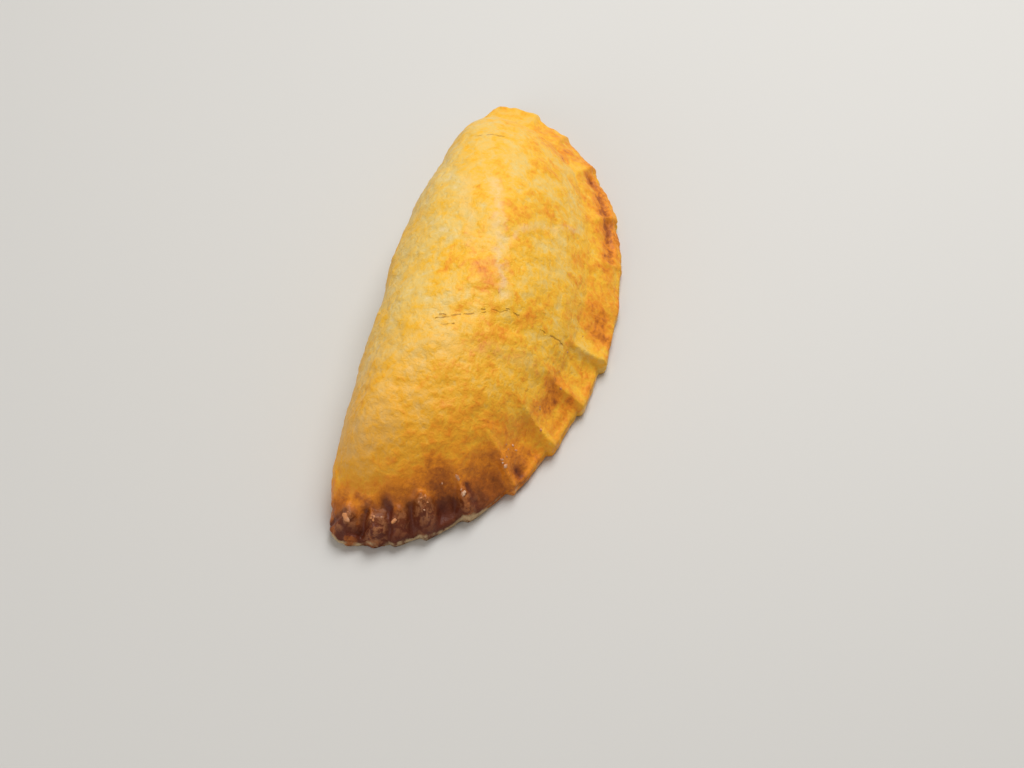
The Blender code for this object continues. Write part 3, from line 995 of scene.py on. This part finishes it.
class MESH_OT_meat_pie_crust(bpy.types.Operator):
    """Model the pie's whole crust: dome, fold, pleated seam and base"""

    bl_idname = "mesh.meat_pie_crust"
    bl_label = "Pie crust"

    def execute(self, context):
        form = context.scene.meat_pie_form
        points, marks = skin(form)
        rings, stations = points.shape[1:]
        bpy.ops.object.select_all(action="DESELECT")
        bpy.ops.mesh.primitive_grid_add(x_subdivisions=stations, y_subdivisions=rings - 1, size=form.length)
        pie = context.object
        pie.name = "pie_crust"
        roll_skin(pie, points, marks)
        pie.data.remesh_voxel_size = VOXEL
        pie.data.use_remesh_preserve_attributes = True
        bpy.ops.object.voxel_remesh()
        self.group_top(pie)
        for name, size, strength in SKIN_RELIEFS:
            add_relief(pie, name, size, strength, "top")
        bpy.ops.object.shade_smooth()
        pie.vertex_groups.clear()
        pie.data.materials.append(crust_finish(context.scene.meat_pie_crust))
        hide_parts(PIE_NODE)
        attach(pie, "root")
        return {"FINISHED"}

    def group_top(self, pie):
        """Weights the pie's points by height, in a few steps, so that relief leaves the base flat."""
        top = pie.vertex_groups.new(name="top")
        heights = np.array([vertex.co.z for vertex in pie.data.vertices])
        weights = np.rint(smooth_step(*TOP_FADE, heights) * TOP_STEPS)
        for weight in range(1, TOP_STEPS + 1):
            top.add(np.flatnonzero(weights == weight).tolist(), weight / TOP_STEPS, "REPLACE")


class MESH_OT_meat_pie_chips(bpy.types.Operator):
    """Scatter dry bits of dough over the pleated rim, after the crust is there"""

    bl_idname = "mesh.meat_pie_chips"
    bl_label = "Chips of dough"

    def execute(self, context):
        crust = bpy.data.objects["pie_crust"]
        chips = [self.add_chip(crust, *place) for place in self.places()]
        bpy.ops.object.select_all(action="DESELECT")
        for chip in chips:
            chip.select_set(True)
        context.view_layer.objects.active = chips[0]
        bpy.ops.object.join()
        bpy.ops.object.transform_apply(location=True, rotation=True, scale=True)
        chips = context.object
        chips.name = "rim_chips"
        bpy.ops.object.shade_smooth()
        chips.data.materials.append(chip_finish(context.scene.meat_pie_crust))
        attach(chips, "root")
        return {"FINISHED"}

    def places(self):
        """Where each chip lies, and its size: the ones by the corner, then a scatter along the near rim."""
        for x, y, size in CHIP_PLACES:
            yield x * MM, y * MM, size * MM
        plan = Plan(bpy.context.scene.meat_pie_form)
        middle = 0.5 * (plan.rim[1].min() + plan.rim[1].max())
        near_corner = plan.seam_place[plan.rim[0].argmin()]
        rng = np.random.default_rng(CHIP_SEED)
        for _ in range(CHIP_COUNT):
            near = rng.uniform(0.0, 1.0) ** CHIP_CROWDING * CHIP_REACH
            station = np.argmin(np.abs(plan.seam_place - (near_corner - near)))
            inset = rng.uniform(*CHIP_INSET)
            x, y = plan.rim[:, station] - plan.normals[:, station] * inset
            yield x, y - middle, rng.uniform(*CHIP_SIZE)

    def add_chip(self, crust, x, y, size):
        """One flattened, uneven bit of dough, half sunk in the crust below its place."""
        found, place, normal, _ = crust.closest_point_on_mesh((x, y, CHIP_DROP))
        if not found:
            raise RuntimeError("A chip of dough has no crust under it")
        bpy.ops.mesh.primitive_ico_sphere_add(subdivisions=CHIP_SUBDIVISIONS, radius=size, location=place)
        chip = bpy.context.object
        chip.rotation_euler = normal.to_track_quat("Z", "Y").to_euler()
        turn = noise.noise(place * CHIP_TURN_NOISE)
        chip.rotation_euler.rotate_axis("Z", turn * CHIP_TURN)
        length, width, height = CHIP_SHAPE
        chip.scale = (length + turn * CHIP_STRETCH, width, height)
        for vertex in chip.data.vertices:
            spot = vertex.co / size * CHIP_RAGGED_NOISE + place * CHIP_RAGGED_SHIFT
            worn = noise.fractal(spot, LAYER_FALL, LAYER_STEP, CHIP_RAGGED_LAYERS)
            vertex.co *= 1.0 + CHIP_RAGGED * worn
        return chip


class SCENE_OT_meat_pie_stage(bpy.types.Operator):
    """Put down the floor and set the lights and the camera"""

    bl_idname = "scene.meat_pie_stage"
    bl_label = "Studio stage"

    def execute(self, context):
        stage = context.scene.meat_pie_stage
        bpy.ops.object.select_all(action="DESELECT")
        bpy.ops.mesh.primitive_plane_add(size=FLOOR_SIZE, location=(0.0, 0.0, 0.0))
        floor = context.object
        floor.name = "studio_floor"
        floor.data.materials.append(floor_finish(stage))
        self.add_light("key_light", *KEY_LIGHT, stage.key_power)
        self.add_light("fill_light", *FILL_LIGHT, stage.fill_power)

        world = bpy.data.worlds.new("soft_sky")
        world.use_nodes = True
        sky = world.node_tree.nodes["Background"].inputs
        sky["Color"].default_value = opaque(SKY_COLOUR)
        sky["Strength"].default_value = stage.sky
        context.scene.world = world
        context.scene.view_settings.view_transform = "Standard"

        eye = Vector(CAMERA_EYE)
        turn = (Vector(CAMERA_AIM) - eye).to_track_quat("-Z", "Y").to_matrix().to_4x4()
        roll = Matrix.Rotation(math.radians(CAMERA_ROLL), 4, "Z")
        bpy.ops.object.camera_add()
        camera = context.object
        camera.name = "photo_view"
        camera.matrix_world = Matrix.Translation(eye) @ turn @ roll
        camera.data.lens = CAMERA_LENS
        camera.data.sensor_width = CAMERA_SENSOR
        camera.data.clip_start, camera.data.clip_end = CAMERA_CLIP
        camera.data.dof.use_dof = False
        context.scene.camera = camera
        return {"FINISHED"}

    def add_light(self, name, place, size, power):
        bpy.ops.object.light_add(type="AREA", location=place)
        light = bpy.context.object
        light.name = name
        light.data.shape = "DISK"
        light.data.size = size
        light.data.energy = power
        light.rotation_euler = Vector(place).to_track_quat("Z", "Y").to_euler()


class VIEW3D_PT_meat_pie(bpy.types.Panel):
    """The pie's settings and pieces"""

    bl_label = "Meat pie"
    bl_idname = "VIEW3D_PT_meat_pie"
    bl_space_type = "VIEW_3D"
    bl_region_type = "UI"
    bl_category = "Meat pie"

    def draw(self, context):
        scene = context.scene
        for settings in (scene.meat_pie_form, scene.meat_pie_crust, scene.meat_pie_stage):
            box = self.layout.box()
            for name in settings.__annotations__:
                box.prop(settings, name)
        for operator in OPERATORS:
            self.layout.operator(operator.bl_idname)


OPERATORS = (MESH_OT_meat_pie_crust, MESH_OT_meat_pie_chips, SCENE_OT_meat_pie_stage)
CLASSES = (MeatPieForm, MeatPieCrust, MeatPieStage, *OPERATORS, VIEW3D_PT_meat_pie)


def register():
    for cls in CLASSES:
        bpy.utils.register_class(cls)
    bpy.types.Scene.meat_pie_form = PointerProperty(type=MeatPieForm)
    bpy.types.Scene.meat_pie_crust = PointerProperty(type=MeatPieCrust)
    bpy.types.Scene.meat_pie_stage = PointerProperty(type=MeatPieStage)


def unregister():
    del bpy.types.Scene.meat_pie_form
    del bpy.types.Scene.meat_pie_crust
    del bpy.types.Scene.meat_pie_stage
    for cls in reversed(CLASSES):
        bpy.utils.unregister_class(cls)


def main():
    register()
    bpy.ops.mesh.meat_pie_crust()
    bpy.ops.mesh.meat_pie_chips()
    bpy.ops.scene.meat_pie_stage()


if __name__ == "__main__":
    main()
